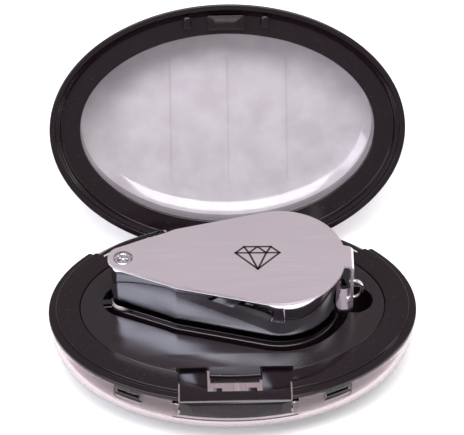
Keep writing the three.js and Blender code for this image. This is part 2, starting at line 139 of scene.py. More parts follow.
# Loupe, with the rivet as its origin and the lens on +X
LOUPE_X = -27.6
LOUPE_Y = 2.15
LOUPE_TURN = -0.014
SMALL_END = 3.9
KINK = (12.1, 9.9)
KINK_EASE = 2.5
LENS_X = 39.7
BIG_END = 16.5
SHEET = 0.7
LOWER_PLATE_INSET = 2.2
COVER_LOW = 0.1
COVER_HIGH = 16.4
STRAP_OUTSIDE = 58.3
STRAP_HALF = 3.65
BEND_RADIUS = 1.8
STRAP_HOLES = (1.7, 7.5)
STRAP_HOLE_RADIUS = 1.2
RIVET_HOLE = 2.45
RIVET_RADIUS = 2.15
RIVET_LOW = 0.2
RIVET_TOP = 16.2
EYELET_RADIUS = 1.0
LOWER_EYE_RADIUS = 3.3
BODY_INSET = 0.8
BODY_LOW = 1.6
BODY_HIGH = 14.9
LENS_BORE = 11.5
LENS_RADIUS = 11.1
RETAINING_BORE = 9.6
RETAINING_HEIGHT = 1.1
NOTCH_RADIUS = 10.4
GEM_X = 34.0
GEM_STROKE = 0.26
BAIL_WIRE = 0.5
BAIL_MIDDLE = 4.6
BAIL_HALF = 2.9
BAIL_REACH = 2.1
BAIL_START = 58.6
BAIL_END = 57.35

# Lenses from the lowest up: name, then height at the axis and radius of the lower and upper face
LENSES = (
    ("lens_lower", (3.3, -34), (6.0, -60)),
    ("lens_middle", (6.3, -60), (10.2, 60)),
    ("lens_upper", (10.5, 60), (13.2, 34)),
)

# Camera and studio
CAMERA_LENS = 267.63
CAMERA_PLACE = (-15.27, -615.19, 631.05)
CAMERA_AZIMUTH = math.radians(-1.41)
CAMERA_ELEVATION = math.radians(44.23)
FLOOR_HALF = 4000
LIGHT_TARGET_M = (0, 0, 0.02)

# Segments of the case's ovals, and below what size a radius counts as being on the axis
ROUND = 192
ON_AXIS = 1e-6

AT_LEDGE = Matrix.Translation((0, 0, LEDGE_HEIGHT))
OPENED = (
    AT_LEDGE
    @ Matrix.Translation((0, HINGE_Y, HINGE_Z))
    @ Matrix.Rotation(-OPEN_ANGLE, 4, "X")
    @ Matrix.Translation((0, -HINGE_Y, -HINGE_Z))
)
AT_LOUPE = AT_LEDGE @ Matrix.Translation((LOUPE_X, LOUPE_Y, 0)) @ Matrix.Rotation(LOUPE_TURN, 4, "Z")


# Materials ---------------------------------------------------------------------------------------

class Look:
    """A material with its shader, and short ways to add texture nodes to it."""

    def __init__(self, name, color, roughness, metallic=0.0, **values):
        self.material = bpy.data.materials.new(name)
        self.material.use_nodes = True
        self.nodes = self.material.node_tree.nodes
        self.links = self.material.node_tree.links
        self.shader = self.nodes["Principled BSDF"]
        self.place = self.nodes.new("ShaderNodeTexCoord").outputs["Object"]
        self.set("Base Color", (*color, 1.0))
        self.set("Roughness", roughness)
        self.set("Metallic", metallic)
        for key, value in values.items():
            self.set(key.replace("_", " "), value)

    def set(self, socket, value):
        self.shader.inputs[socket].default_value = value

    def noise(self, scale, stretch=(1, 1, 1), detail=3.0):
        mapping = self.nodes.new("ShaderNodeMapping")
        mapping.inputs["Scale"].default_value = stretch
        self.links.new(self.place, mapping.inputs["Vector"])
        noise = self.nodes.new("ShaderNodeTexNoise")
        noise.inputs["Scale"].default_value = scale
        noise.inputs["Detail"].default_value = detail
        self.links.new(mapping.outputs["Vector"], noise.inputs["Vector"])
        return noise.outputs["Fac"]

    def spread(self, value, low, high, from_low=0.35, from_high=0.65):
        ramp = self.nodes.new("ShaderNodeMapRange")
        ramp.inputs["From Min"].default_value = from_low
        ramp.inputs["From Max"].default_value = from_high
        ramp.inputs["To Min"].default_value = low
        ramp.inputs["To Max"].default_value = high
        self.links.new(value, ramp.inputs["Value"])
        return ramp.outputs["Result"]

    def roughness(self, value, low, high):
        self.links.new(self.spread(value, low, high), self.shader.inputs["Roughness"])

    def color(self, value, low, high, from_low=0.35, from_high=0.65):
        mix = self.nodes.new("ShaderNodeMix")
        mix.data_type = "RGBA"
        mix.inputs["A"].default_value = (*low, 1.0)
        mix.inputs["B"].default_value = (*high, 1.0)
        self.links.new(self.spread(value, 0, 1, from_low, from_high), mix.inputs["Factor"])
        self.links.new(mix.outputs["Result"], self.shader.inputs["Base Color"])

    def bump(self, value, distance_mm):
        bump = self.nodes.new("ShaderNodeBump")
        bump.inputs["Distance"].default_value = distance_mm * MM
        self.links.new(value, bump.inputs["Height"])
        self.links.new(bump.outputs["Normal"], self.shader.inputs["Normal"])


def black_plastic(name, color, low, high):
    """Glossy black plastic with faint handling haze and specks of dust."""
    look = Look(name, color, low, IOR=1.36)
    look.roughness(look.noise(70), low, high)
    dust = tuple(c + 0.035 for c in color)
    look.color(look.noise(2600, detail=1.0), color, dust, from_low=0.7, from_high=0.8)
    look.bump(look.noise(500), 0.004)
    return look.material


def clear_plastic(name, color, low, high):
    look = Look(name, color, low, Transmission_Weight=1.0, IOR=1.45)
    look.roughness(look.noise(60), low, high)
    look.bump(look.noise(45), 0.02)
    return look.material


def scuffed_black(name, color):
    """The cradle's glossy plastic, hazed and scuffed by handling."""
    look = Look(name, color, 0.3, IOR=1.5)
    haze = look.noise(35, detail=6.0)
    look.roughness(haze, 0.14, 0.36)
    look.color(look.noise(1800, detail=2.0), color, tuple(c + 0.03 for c in color), 0.66, 0.8)
    look.bump(look.noise(300, stretch=(1, 0.15, 1)), 0.006)
    return look.material


def window_plastic():
    """The lid's window: clear but hazy, so it scatters some of the light that falls on it."""
    look = Look("window_clear", (0.6, 0.55, 0.6), 0.15, Transmission_Weight=0.3, IOR=1.45)
    look.color(look.noise(160, detail=6.0), (0.5, 0.455, 0.495), (0.57, 0.525, 0.565))
    look.roughness(look.noise(80), 0.06, 0.16)
    look.bump(look.noise(30), 0.02)
    return look.material


def brushed_steel():
    """Satin plate, brushed along the loupe."""
    look = Look("satin_steel", (0.9, 0.8, 0.84), 0.3, 1.0)
    grain = look.noise(4000, stretch=(0.02, 1, 1), detail=1.0)
    look.roughness(grain, 0.3, 0.38)
    look.color(look.noise(25), (0.83, 0.72, 0.79), (0.87, 0.76, 0.83))
    look.bump(grain, 0.0006)
    return look.material


def polished(name, color, low, high):
    look = Look(name, color, low, 1.0)
    look.roughness(look.noise(90), low, high)
    look.bump(look.noise(30), 0.006)
    return look.material


def lens_glass():
    look = Look("lens_glass", (0.93, 0.97, 0.96), 0.0, Transmission_Weight=1.0, IOR=1.52)
    look.roughness(look.noise(30), 0.0, 0.02)
    return look.material


def plain_satin(name, color, roughness):
    look = Look(name, color, roughness)
    look.roughness(look.noise(400), roughness - 0.06, roughness + 0.06)
    look.bump(look.noise(900), 0.004)
    return look.material


FRAME_BLACK = black_plastic("frame_black", (0.008, 0.004, 0.006), 0.1, 0.18)
CRADLE_BLACK = scuffed_black("cradle_black", (0.008, 0.004, 0.006))
SHELL_CLEAR = clear_plastic("shell_clear", (0.58, 0.48, 0.51), 0.02, 0.08)
WINDOW_CLEAR = window_plastic()
SATIN_STEEL = brushed_steel()
CHROME = polished("chrome", (0.68, 0.67, 0.74), 0.03, 0.07)
BRIGHT_STEEL = polished("bright_steel", (0.66, 0.63, 0.65), 0.12, 0.22)
GLASS = lens_glass()
RING_BLACK = plain_satin("ring_black", (0.02, 0.02, 0.022), 0.4)
NYLON = plain_satin("nylon", (0.8, 0.78, 0.74), 0.5)
MARK_INK = plain_satin("mark_ink", (0.015, 0.012, 0.014), 0.4)


# Mesh helpers --------------------------------------------------------------------------------------

def add_mesh(name, verts, faces):
    mesh = bpy.data.meshes.new(name)
    mesh.from_pydata([tuple(Vector(v) * MM) for v in verts], [], faces)
    obj = bpy.data.objects.new(name, mesh)
    bpy.context.collection.objects.link(obj)
    return obj


def settle(obj):
    """Applies the object's modifiers to a mesh of its own."""
    depsgraph = bpy.context.evaluated_depsgraph_get()
    mesh = bpy.data.meshes.new_from_object(obj.evaluated_get(depsgraph))
    obj.modifiers.clear()
    old = obj.data
    obj.data = mesh
    bpy.data.meshes.remove(old)
    return obj


def combine(obj, other, operation):
    modifier = obj.modifiers.new("boolean", "BOOLEAN")
    modifier.operation = operation
    modifier.solver = "EXACT"
    modifier.object = other
    settle(obj)
    bpy.data.objects.remove(other)
    return obj


def cut(obj, *others):
    for other in others:
        combine(obj, other, "DIFFERENCE")
    return obj


def unite(obj, *others):
    for other in others:
        combine(obj, other, "UNION")
    return obj


def join(obj, *others):
    """Puts several closed meshes into one object."""
    bm = bmesh.new()
    for each in (obj, *others):
        bm.from_mesh(each.data)
    bm.to_mesh(obj.data)
    bm.free()
    for other in others:
        bpy.data.objects.remove(other)
    return obj


def soften(obj, width_mm, segments=2, angle=40):
    modifier = obj.modifiers.new("bevel", "BEVEL")
    modifier.width = width_mm * MM
    modifier.segments = segments
    modifier.limit_method = "ANGLE"
    modifier.angle_limit = math.radians(angle)
    modifier.miter_outer = "MITER_ARC"
    return settle(obj)


def box(x0, x1, y0, y1, z0, z1):
    verts = [(x, y, z) for x in (x0, x1) for y in (y0, y1) for z in (z0, z1)]
    faces = [(0, 1, 3, 2), (4, 6, 7, 5), (0, 4, 5, 1), (2, 3, 7, 6), (0, 2, 6, 4), (1, 5, 7, 3)]
    return add_mesh("box", verts, faces)


def prism(name, near, far):
    """The solid between two matching outlines, each a list of points."""
    count = len(near)
    faces = [tuple(range(count)), tuple(reversed(range(count, 2 * count)))]
    faces += [((i + 1) % count, i, count + i, count + (i + 1) % count) for i in range(count)]
    obj = add_mesh(name, near + far, faces)
    weld(obj)
    return obj


def lathe(profile, axis_at=(0, 0), segments=96):
    """Turns (radius, z) points about a vertical axis. The profile closes on itself or ends on the axis."""
    verts = []
    rings = []
    for radius, z in profile:
        count = segments if radius > ON_AXIS else 1
        rings.append((len(verts), count))
        for i in range(count):
            angle = 2 * math.pi * i / segments
            verts.append((axis_at[0] + radius * math.cos(angle), axis_at[1] + radius * math.sin(angle), z))
    return add_mesh("lathe", verts, ring_faces(rings, segments))


def ring_faces(rings, segments):
    """Faces between neighbouring rings, each (first vertex, count), where a count of 1 is a point."""
    faces = []
    for k, (low, low_count) in enumerate(rings):
        high, high_count = rings[(k + 1) % len(rings)]
        for i in range(segments):
            j = (i + 1) % segments
            if low_count > 1 and high_count > 1:
                faces.append((low + i, low + j, high + j, high + i))
            elif low_count > 1:
                faces.append((low + i, low + j, high))
            elif high_count > 1:
                faces.append((low, high + j, high + i))
    return faces


def cylinder(radius, z0, z1, at=(0, 0), segments=64):
    return lathe([(0, z0), (radius, z0), (radius, z1), (0, z1)], at, segments)


def rod_x(radius, x0, x1, y, z):
    rod = cylinder(radius, x0, x1, segments=48)
    rod.data.transform(Matrix(((0, 0, 1, 0), (1, 0, 0, y * MM), (0, 1, 0, z * MM), (0, 0, 0, 1))))
    return rod


def rod_y(radius, y0, y1, x, z):
    rod = cylinder(radius, y0, y1, segments=32)
    rod.data.transform(Matrix(((0, 1, 0, x * MM), (0, 0, 1, 0), (1, 0, 0, z * MM), (0, 0, 0, 1))))
    return rod


def rounded(points, steps=5):
    """A closed profile of (inset, z, corner size) points with its corners rounded."""
    out = []
    for i, (x, z, size) in enumerate(points):
        if not size:
            out.append((x, z))
            continue
        here = Vector((x, z))
        before = (Vector(points[i - 1][:2]) - here).normalized() * size + here
        after = (Vector(points[(i + 1) % len(points)][:2]) - here).normalized() * size + here
        for k in range(steps + 1):
            t = k / steps
            point = before * (1 - t) ** 2 + here * 2 * t * (1 - t) + after * t ** 2
            out.append((point.x, point.y))
    return out


def arc(inset, z, radius, start, end, steps=18):
    angles = [math.radians(start + (end - start) * i / steps) for i in range(steps + 1)]
    return [(inset - radius * math.cos(a), z + radius * math.sin(a)) for a in angles]


def oval_body(profile):
    """Concentric ovals. The profile holds (inset from the case outline, z), with None for the middle."""
    verts = []
    rings = []
    for inset, z in profile:
        count = 1 if inset is None else ROUND
        rings.append((len(verts), count))
        for i in range(count):
            angle = 2 * math.pi * (i + 0.5) / ROUND
            a = 0 if inset is None else CASE_A - inset
            b = 0 if inset is None else CASE_B - inset
            verts.append((a * math.cos(angle), b * math.sin(angle), z))
    return add_mesh("oval", verts, ring_faces(rings, ROUND))


def oval_prism(inset, z0, z1):
    return oval_body([(None, z0), (inset, z0), (inset, z1), (None, z1)])


def circle_points(x, y, radius, start=0.0, end=360.0, steps=64, whole=True):
    count = steps if whole else steps + 1
    angles = [math.radians(start + (end - start) * i / steps) for i in range(count)]
    return [(x + radius * math.cos(a), y + radius * math.sin(a)) for a in angles]


def teardrop(grow):
    """Outline of the loupe, grown outwards."""
    small = SMALL_END + grow
    big = BIG_END + grow
    kink = Vector((KINK[0] - 0.34 * grow, KINK[1] + 0.95 * grow))
    to_small = math.degrees(math.atan2(kink.y, kink.x) + math.acos(small / kink.length))
    offset = kink - Vector((LENS_X, 0))
    to_big = math.degrees(math.atan2(offset.y, offset.x) - math.acos(big / offset.length))
    points = circle_points(0, 0, small, to_small, 360 - to_small, 28, False)
    points += kink_bend(big, kink, -1)
    points += circle_points(LENS_X, 0, big, -to_big, to_big, 72, False)
    points += list(reversed(kink_bend(big, kink, 1)))
    return points


def kink_bend(big, kink, side):
    """The soft corner where the taper changes, from the small end towards the large one."""
    here = Vector((kink.x, side * kink.y))
    ahead = Vector((LENS_X - big * 0.3, side * big * 0.95)) - here
    start = here * (1 - KINK_EASE / here.length)
    end = here + ahead.normalized() * KINK_EASE
    return [tuple(start * (1 - t) ** 2 + here * 2 * t * (1 - t) + end * t ** 2) for t in (0.25, 0.5, 0.75)]


def mesh_of_curve(curve, rise_mm=0.0):
    """Turns a curve into a mesh object with its doubled points merged, lifted by rise_mm."""
    maker = bpy.data.objects.new(curve.name, curve)
    bpy.context.collection.objects.link(maker)
    depsgraph = bpy.context.evaluated_depsgraph_get()
    mesh = bpy.data.meshes.new_from_object(maker.evaluated_get(depsgraph))
    bpy.data.objects.remove(maker)
    obj = bpy.data.objects.new(curve.name, mesh)
    bpy.context.collection.objects.link(obj)
    mesh.transform(Matrix.Translation((0, 0, rise_mm * MM)))
    weld(obj)
    return obj


def slab(outlines, z0, z1, bevel=0.0, segments=3):
    """A plate with rounded edges. The first outline is its edge and the others are holes."""
    curve = bpy.data.curves.new("slab", "CURVE")
    curve.dimensions = "2D"
    curve.fill_mode = "BOTH"
    curve.extrude = ((z1 - z0) / 2 - bevel) * MM
    curve.bevel_depth = bevel * MM
    curve.bevel_resolution = segments
    curve.offset = -bevel * MM
    for outline in outlines:
        spline = curve.splines.new("POLY")
        spline.points.add(len(outline) - 1)
        for point, (x, y) in zip(spline.points, outline):
            point.co = (x * MM, y * MM, 0, 1)
        spline.use_cyclic_u = True
    return mesh_of_curve(curve, (z0 + z1) / 2)


def weld(obj, distance_mm=0.002):
    bm = bmesh.new()
    bm.from_mesh(obj.data)
    bmesh.ops.remove_doubles(bm, verts=bm.verts, dist=distance_mm * MM)
    bmesh.ops.recalc_face_normals(bm, faces=bm.faces)
    bm.to_mesh(obj.data)
    bm.free()


def tube(points, radius, name, resolution=6):
    """Round wire along a list of points, with flat ends."""
    curve = bpy.data.curves.new(name, "CURVE")
    curve.dimensions = "3D"
    curve.bevel_depth = radius * MM
    curve.bevel_resolution = resolution
    curve.use_fill_caps = True
    spline = curve.splines.new("POLY")
    spline.points.add(len(points) - 1)
    for point, spot in zip(spline.points, points):
        point.co = (*(c * MM for c in spot), 1)
    return mesh_of_curve(curve)


def place(obj, name, at, body, material, slot, *nodes, smooth=32):
    """Moves a finished mesh to where it belongs, gives it its material and rides it on its body."""
    millimetres = at.copy()
    millimetres.translation = at.translation * MM
    obj.data.transform(millimetres)
    obj.name = name
    obj.data.name = name
    obj.data.materials.clear()
    obj.data.materials.append(material)
    obj.data.shade_smooth()
    obj.data.set_sharp_from_angle(angle=math.radians(smooth))
    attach(obj, body)
    if nodes:
        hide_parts(*nodes)
    return obj


# Base ------------------------------------------------------------------------------------------------

def base_shell():
    centre = SHELL_INSET + BASE_CORNER
    spring = BASE_CORNER - LEDGE_HEIGHT
    # The last two points only steer the rounding, and are dropped
    rim = rounded([
        (SHELL_INSET, -RIM - GAP, 0.35),
        (SHELL_INSET + BASE_WALL, -RIM - GAP, 0.35),
        (SHELL_INSET + BASE_WALL, spring, 0),
        (SHELL_INSET, spring, 0),
    ])[:-2]
    shell = oval_body(
        [(None, -LEDGE_HEIGHT)]
        + arc(centre, spring, BASE_CORNER, -90, 0)
        + rim
        + arc(centre, spring, BASE_CORNER - BASE_WALL, 0, -90)
        + [(None, BASE_WALL - LEDGE_HEIGHT)])
    half, proud, inside, bottom, lip = LATCH_FRAME
    surround = oval_prism(proud, bottom, -RIM - GAP)
    cut(surround, oval_prism(inside, bottom - 1, 1))
    combine(surround, box(-half, half, -CASE_B - PAST, 0, bottom - 1, 1), "INTERSECT")
    unite(shell, soften(surround, 0.25, 3, 50))
    notch_half = BASE_KNUCKLE + HINGE_SIDE_ROOM
    cut(shell,
        box(-CUT_HALF, CUT_HALF, -CASE_B - PAST, -22, lip, PAST),
        box(-notch_half, notch_half, SHELL_NOTCH_FRONT, CASE_B + PAST, SHELL_NOTCH_BOTTOM, PAST))
    for x0, x1 in SNAP_WINDOWS:
        cut(shell, box(x0, x1, -CASE_B - PAST, FRONT_STRIP, *SNAP_OPENING))
    place(shell, "base_shell_skin", AT_LEDGE, "base", SHELL_CLEAR, "clear_plastic", "base_shell")


def base_tray():
    flange_top = CRADLE_TOP - CRADLE_SHEET - GAP - FLANGE_DROP
    flange_low = flange_top - FLANGE_SHEET
    seam = CRADLE_INSET - INSERT_SEAM
    ring = oval_body(rounded([
        (0, -RIM, 0.25),
        (0, 0, 0.45),
        (LEDGE_WIDTH, 0.15, 0.12),
        (LEDGE_WIDTH + 0.15, PLATFORM_TOP, 0.25),
        (seam, PLATFORM_TOP, 0.18),
        (seam, flange_top, 0),
        (FLANGE_INSET, flange_top, 0),
        (FLANGE_INSET, flange_low, 0),
        (SKIRT_INSET, flange_low, 0.3),
        (SKIRT_INSET, -RIM, 0),
    ]))
    rear = [(-x, y) for x, y in reversed(REAR_STEP_HALF)] + list(REAR_STEP_HALF)
    cut(ring,
        slab([rear], REAR_STEP, PLATFORM_TOP + 1),
        box(-CUT_HALF, CUT_HALF, -CASE_B - PAST, CUT_REAR, CUT_BOTTOM, PLATFORM_TOP + PAST))
    inside, outside, wall = BRACKET
    for side in (-1, 1):
        x0, x1 = sorted((side * inside, side * outside))
        unite(ring, box(x0, x1, CUT_REAR + 0.1, CUT_REAR + 0.1 + wall, CUT_BOTTOM, flange_top))
    for x0, x1 in SNAP_WINDOWS:
        x0, x1 = x0 + SNAP_SIDE_ROOM, x1 - SNAP_SIDE_ROOM
        stem = box(x0, x1, -CASE_B, FRONT_STRIP, SNAP_LOW, flange_low + 0.3)
        combine(stem, oval_prism(SKIRT_INSET, SNAP_LOW - PAST, 0), "INTERSECT")
        nub = box(x0, x1, -CASE_B, FRONT_STRIP, SNAP_LOW, SNAP_HIGH)
        combine(nub, oval_prism(SNAP_OUTSIDE, SNAP_LOW - PAST, 0), "INTERSECT")
        unite(stem, nub)
        cut(stem, oval_prism(SNAP_INSIDE, SNAP_LOW - PAST, 1))
        unite(ring, stem)
    for side in (-1, 1):
        x0, x1 = sorted((side * (LID_KNUCKLE + GAP), side * BASE_KNUCKLE))
        unite(ring, box(x0, x1, KNUCKLE_FRONT, HINGE_Y, HINGE_Z, flange_low + 0.2),
              rod_x(KNUCKLE_RADIUS, x0, x1, HINGE_Y, HINGE_Z))
    path_half = LID_KNUCKLE + GAP
    cut(ring,
        box(-path_half, path_half, KNUCKLE_FRONT, CASE_B + PAST, LID_PATH_BOTTOM, PLATFORM_TOP + PAST),
        rod_x(PIN_RADIUS + GAP, -CASE_A, CASE_A, HINGE_Y, HINGE_Z))
    place(ring, "base_tray_skin", AT_LEDGE, "base", FRAME_BLACK, "black_plastic", "base_tray")


def seated(points):
    """Points of the loupe's own plan, where it lies in the case."""
    return [tuple((AT_LOUPE @ Vector((x, y, 0)))[:2]) for x, y in points]


def pocket_outline(grow):
    """The teardrop of the pocket with the round notch for the bail at its large end."""
    x, y, radius = NOTCH
    radius += grow
    drop = seated(teardrop(POCKET_CLEARANCE + grow))
    inside = [(px, py) for px, py in drop if math.hypot(px - x, py - y) > radius]
    above = [p for p in circle_points(x, y, radius, -150, 150, 60, False) if not within(p, drop)]
    small_end = min(range(len(inside)), key=lambda i: inside[i][0])
    ordered = inside[small_end:] + inside[:small_end]
    lower = [p for p in ordered if p[1] < y]
    upper = [p for p in ordered if p[1] >= y]
    return lower + above + upper


def within(point, outline):
    """Whether the point is inside the closed outline."""
    x, y = point
    odd = False
    for (x0, y0), (x1, y1) in zip(outline, outline[1:] + outline[:1]):
        if (y0 > y) != (y1 > y) and x < (x1 - x0) * (y - y0) / (y1 - y0) + x0:
            odd = not odd
    return odd


def loupe_cradle():
    edge = [((CASE_A - CRADLE_INSET) * math.cos(a), (CASE_B - CRADLE_INSET) * math.sin(a))
            for a in (2 * math.pi * i / ROUND for i in range(ROUND))]
    pocket = pocket_outline(0)
    floor = -POCKET_DEPTH
    low = CRADLE_TOP - CRADLE_SHEET
    plate = slab([edge, pocket], low, CRADLE_TOP, 0.35, 4)
    for side in (-1, 1):
        x0, x1 = sorted((side * TONGUE_HALF, side * (CUT_HALF + 0.4)))
        cut(plate, box(x0, x1, -CASE_B, CUT_REAR, -PAST, PAST))
    cut(plate, box(-TONGUE_HALF - 1, TONGUE_HALF + 1, -CASE_B, TONGUE_FRONT, -PAST, PAST))
    unite(plate, box(0.2 - TONGUE_HALF, TONGUE_HALF - 0.2, TONGUE_FRONT, CUT_REAR + 1, TONGUE_BOTTOM, 0))
    walls = slab([pocket_outline(POCKET_WALL), pocket], floor, low + 0.4)
    bottom = slab([pocket_outline(POCKET_WALL)], floor - POCKET_FLOOR, floor)
    seat = slab([seated(teardrop(-SEAT_INSET))], floor - 0.1, SEAT_TOP, 0.5, 4)
    join(plate, walls, bottom, seat)
    place(plate, "loupe_cradle_skin", AT_LEDGE, "base", CRADLE_BLACK, "cradle_plastic", "loupe_cradle")


def latch_button():
    outline = [(LATCH_REAR, LATCH_BOTTOM), (THUMB_FRONT - 0.4, LATCH_BOTTOM), (THUMB_FRONT, THUMB_LOW)]
    for t in (0.2, 0.4, 0.6, 0.8, 1.0):
        outline.append((THUMB_FRONT + 2.6 * t * t + 0.4 * t, THUMB_LOW * (1 - math.sin(t * math.pi / 2))))
    outline.append((LATCH_REAR, 0))
    near, far = ([(x, y, z) for y, z in outline] for x in (-LATCH_HALF, LATCH_HALF))
    latch = prism("latch", near, far)
    combine(latch, oval_prism(-1, LATCH_BOTTOM - 1, 1), "INTERSECT")
    cut(latch, box(-SLOT_HALF, SLOT_HALF, SLOT_FRONT, 0, -8, 1))
    inside, outside, rear = SLOT_STOP
    for side in (-1, 1):
        x0, x1 = sorted((side * inside, side * outside))
        unite(latch, box(x0, x1, SLOT_FRONT - 0.5, rear, -2.2, -0.3))
    soften(latch, 0.2, 3, 50)
    for x in (-SPRING_X, SPRING_X):
        cut(latch, rod_y(SPRING_BORE, SPRING_BORE_END, 0, x, SPRING_Z))
    place(latch, "latch_button_skin", AT_LEDGE, "latch", FRAME_BLACK, "black_plastic", "latch_button")


def latch_springs():
    steps = SPRING_TURNS * 24
    for name, x in (("latch_spring_left", -SPRING_X), ("latch_spring_right", SPRING_X)):
        points = []
        for i in range(steps + 1):
            angle = 2 * math.pi * SPRING_TURNS * i / steps
            points.append((x + SPRING_RADIUS * math.cos(angle),
                           SPRING_REAR - SPRING_LENGTH * i / steps,
                           SPRING_Z + SPRING_RADIUS * math.sin(angle)))
        wire = tube(points, SPRING_WIRE, name)
        place(wire, name + "_wire", AT_LEDGE, "base", BRIGHT_STEEL, "steel", name)


# Lid -------------------------------------------------------------------------------------------------

def lid_frame():
    skirt = SHELL_INSET + COVER_WALL + GAP
    ring = oval_body(rounded([
        (0, LIP_BOTTOM, 0.4),
        (0, LIP_BOTTOM + LID_RIM, 0.3),
        (skirt, LIP_BOTTOM + LID_RIM, 0),
        (skirt, RING_BACK, 0),
        (WELL_INSET - WELL_WALL, RING_BACK, 0),
        (WELL_INSET - WELL_WALL, WELL_TOP - 0.8, 0.2),
        (WELL_INSET, WELL_TOP, 0.2),
        (WELL_INSET, RING_FACE, 0.5),
        (LEDGE_WIDTH + 1.2, RING_FACE, 0.3),
        (LEDGE_WIDTH + 0.9, LIP_BOTTOM + 1.8, 0.3),
        (LEDGE_WIDTH - 0.25, LIP_BOTTOM + 1.15, 0.3),
        (LEDGE_WIDTH - 0.3, LIP_BOTTOM, 0.2),
    ]))
    block, rib, tooth = HOOK_HALVES
    hook = box(-block, block, -30, -26.2, 0.6, HOOK_ROOT)
    cut(hook, box(-block - PAST, block + PAST, -26.9, -26, 1.6, 2.2))
    unite(hook,
          box(-rib, rib, -26.4, -25.1, 2.2, HOOK_ROOT),
          box(-tooth, tooth, -28.7, -27.1, -2, HOOK_ROOT))
    soften(hook, 0.18, 2)
    unite(ring, hook)
    for x in PEGS:
        unite(ring, soften(box(x - PEG_HALF, x + PEG_HALF, -30, -26.4, 0.6, HOOK_ROOT), 0.7, 4))
    arm = box(-LID_KNUCKLE, LID_KNUCKLE, HINGE_Y - 0.5, CASE_B, HINGE_Z, LIP_BOTTOM + 0.8)
    combine(arm, oval_prism(0.3, HINGE_Z - 1, RING_FACE), "INTERSECT")
    unite(ring, arm, rod_x(KNUCKLE_RADIUS, -LID_KNUCKLE, LID_KNUCKLE, HINGE_Y, HINGE_Z))
    cut(ring, rod_x(PIN_RADIUS + GAP, -CASE_A, CASE_A, HINGE_Y, HINGE_Z))
    place(ring, "lid_frame_skin", OPENED, "lid", FRAME_BLACK, "black_plastic", "lid_frame")


def lid_cover():
    centre = SHELL_INSET + COVER_CORNER
    spring = COVER_TOP - COVER_CORNER
    rim = LIP_BOTTOM + LID_RIM + GAP
    cover = oval_body(
        [(SHELL_INSET, rim)]
        + arc(centre, spring, COVER_CORNER, 0, 90)
        + [(None, COVER_TOP), (None, COVER_TOP - COVER_WALL)]
        + arc(centre, spring, COVER_CORNER - COVER_WALL, 90, 0)
        + [(SHELL_INSET + COVER_WALL, rim)])
    inner = COVER_TOP - COVER_WALL
    for x in WINDOW_LINES:
        join(cover, box(x - LINE_HALF, x + LINE_HALF, -17.5, 16, inner - 0.12, inner + 0.05))
    place(cover, "lid_cover_skin", OPENED, "lid", WINDOW_CLEAR, "clear_plastic", "lid_cover", "lid_window")


# Loupe -----------------------------------------------------------------------------------------------

def strap():
    """The strip that joins the two plates round the large end, with a leg in line with each plate."""
    def side(offset):
        """One face of the strip from its lower leg to its upper one, offset inwards."""
        low = COVER_LOW + BEND_RADIUS
        high = COVER_HIGH - BEND_RADIUS
        x = STRAP_OUTSIDE - BEND_RADIUS
        radius = BEND_RADIUS - offset
        bend = [math.radians(-90 + 90 * i / 10) for i in range(11)]
        lower = [(x + radius * math.cos(a), low + radius * math.sin(a)) for a in bend]
        upper = [(px, high + low - pz) for px, pz in reversed(lower)]
        return [(LENS_X, lower[0][1])] + lower + upper + [(LENS_X, upper[-1][1])]
    outline = side(0) + list(reversed(side(SHEET)))
    near, far = ([(x, y, z) for x, z in outline] for y in (-STRAP_HALF, STRAP_HALF))
    return prism("strap", near, far)


def loupe_cover():
    """Both plates and the strap, bent from one sheet with its edges lightly rounded."""
    hole = circle_points(0, 0, RIVET_HOLE, steps=48)
    cover = strap()
    unite(cover,
          slab([teardrop(0), hole], COVER_HIGH - SHEET, COVER_HIGH),
          slab([teardrop(-LOWER_PLATE_INSET)], COVER_LOW, COVER_LOW + SHEET),
          cylinder(LOWER_EYE_RADIUS, COVER_LOW, COVER_LOW + SHEET))
    cut(cover, cylinder(RIVET_HOLE, COVER_LOW - 1, COVER_LOW + PAST))
    soften(cover, 0.14, 2, 60)
    for z in STRAP_HOLES:
        cut(cover, rod_x(STRAP_HOLE_RADIUS, STRAP_OUTSIDE - 2 * SHEET, STRAP_OUTSIDE + 1, 0, z))
    place(cover, "loupe_cover_skin", AT_LOUPE, "loupe_case", SATIN_STEEL, "cover_steel", "loupe_cover")


def lens_body():
    outlines = [teardrop(-BODY_INSET), circle_points(0, 0, RIVET_HOLE, steps=48),
                circle_points(LENS_X, 0, LENS_BORE, steps=120)]
    body = slab(outlines, BODY_LOW, BODY_HIGH, 0.35, 4)
    place(body, "lens_body_skin", AT_LOUPE, "lens_unit", CHROME, "chrome", "lens_body")


def pivot_rivet():
    """Eyelet rivet whose flared top is split into a star."""
    rivet = lathe(rounded([
        (EYELET_RADIUS, RIVET_LOW, 0),
        (RIVET_RADIUS, RIVET_LOW, 0.2),
        (RIVET_RADIUS, RIVET_TOP, 0.3),
        (1.5, RIVET_TOP, 0.25),
        (EYELET_RADIUS, RIVET_TOP - 1.4, 0),
    ], 4), segments=72)
    for i in range(3):
        groove = box(-2.0, 2.0, -0.14, 0.14, RIVET_TOP - 0.3, RIVET_TOP + 1)
        groove.data.transform(Matrix.Rotation(math.pi * i / 3, 4, "Z"))
        cut(rivet, groove)
    core = cylinder(EYELET_RADIUS + 0.02, 1.0, RIVET_TOP - 1.1, segments=48)
    join(rivet, core)
    place(rivet, "pivot_rivet_skin", AT_LOUPE, "loupe_case", BRIGHT_STEEL, "steel", "pivot_rivet")


